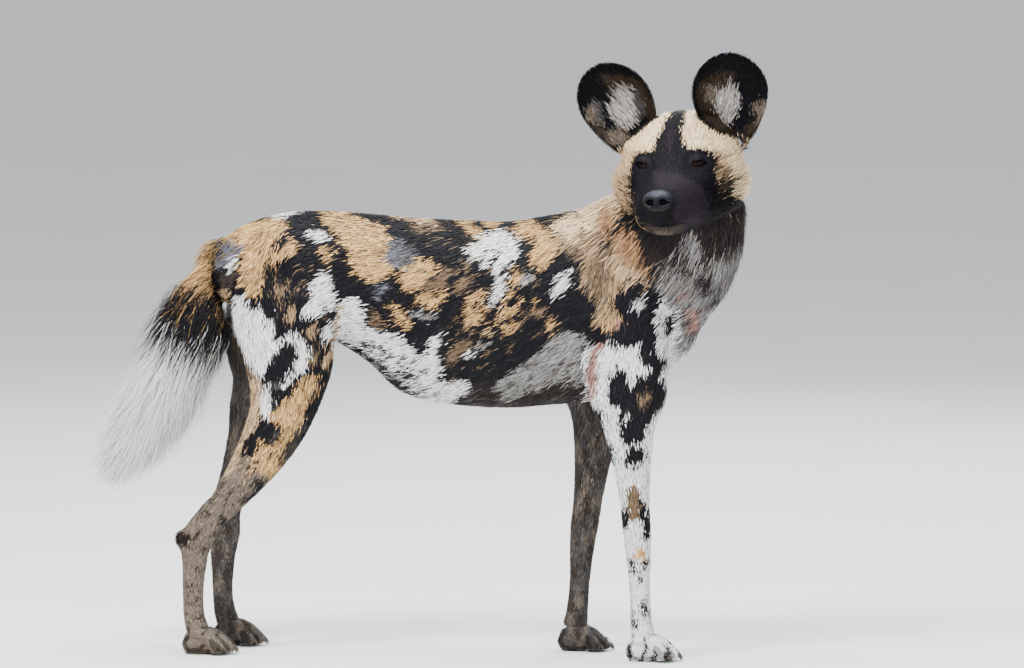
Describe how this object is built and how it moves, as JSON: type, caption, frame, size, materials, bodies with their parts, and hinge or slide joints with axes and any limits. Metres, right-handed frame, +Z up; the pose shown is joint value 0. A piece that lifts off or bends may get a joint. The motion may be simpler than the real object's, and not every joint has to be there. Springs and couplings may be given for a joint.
{
  "type": "african wild dog, life-size model",
  "caption": "Still, life-size model of an african wild dog that stands on four feet with its head turned to its right, ears up and tail hanging.",
  "frame": {"origin": "on the floor, under the middle of the model's bounding box", "axes": "+X from the tail towards the chest, +Y towards the animal's left, +Z up"},
  "size_m": [1.0173, 0.3212, 0.91],
  "materials": {
    "body_coat": "short patchy coat in black, tan and white",
    "head_coat": "short coat, tan brow and cheeks, dark muzzle",
    "ear_coat": "thin ear with dark short hair and a pale tuft inside",
    "neck_coat": "longer ruff of tan, brown and grey hair",
    "leg_coat": "short coat with white, tan and black patches",
    "tail_brush": "bushy hair, tan at the root, a black band, then white",
    "nose_skin": "bare moist skin with fine pebbling",
    "eye": "dark brown iris under a clear, wet surface"
  },
  "bodies": {
    "root": {"head": "head_coat", "neck": "neck_coat", "torso": "body_coat", "tail": "tail_brush", "nose": "nose_skin", "eye_right": "eye", "eye_left": "eye", "ear_right": "ear_coat", "ear_left": "ear_coat", "foreleg_right_forearm": "leg_coat", "foreleg_right_pastern": "leg_coat", "foreleg_right_paw": "leg_coat", "hindleg_right_thigh": "leg_coat", "hindleg_right_shank": "leg_coat", "hindleg_right_pastern": "leg_coat", "hindleg_right_paw": "leg_coat", "foreleg_left_forearm": "leg_coat", "foreleg_left_pastern": "leg_coat", "foreleg_left_paw": "leg_coat", "hindleg_left_thigh": "leg_coat", "hindleg_left_shank": "leg_coat", "hindleg_left_pastern": "leg_coat", "hindleg_left_paw": "leg_coat"}
  },
  "joints": []
}
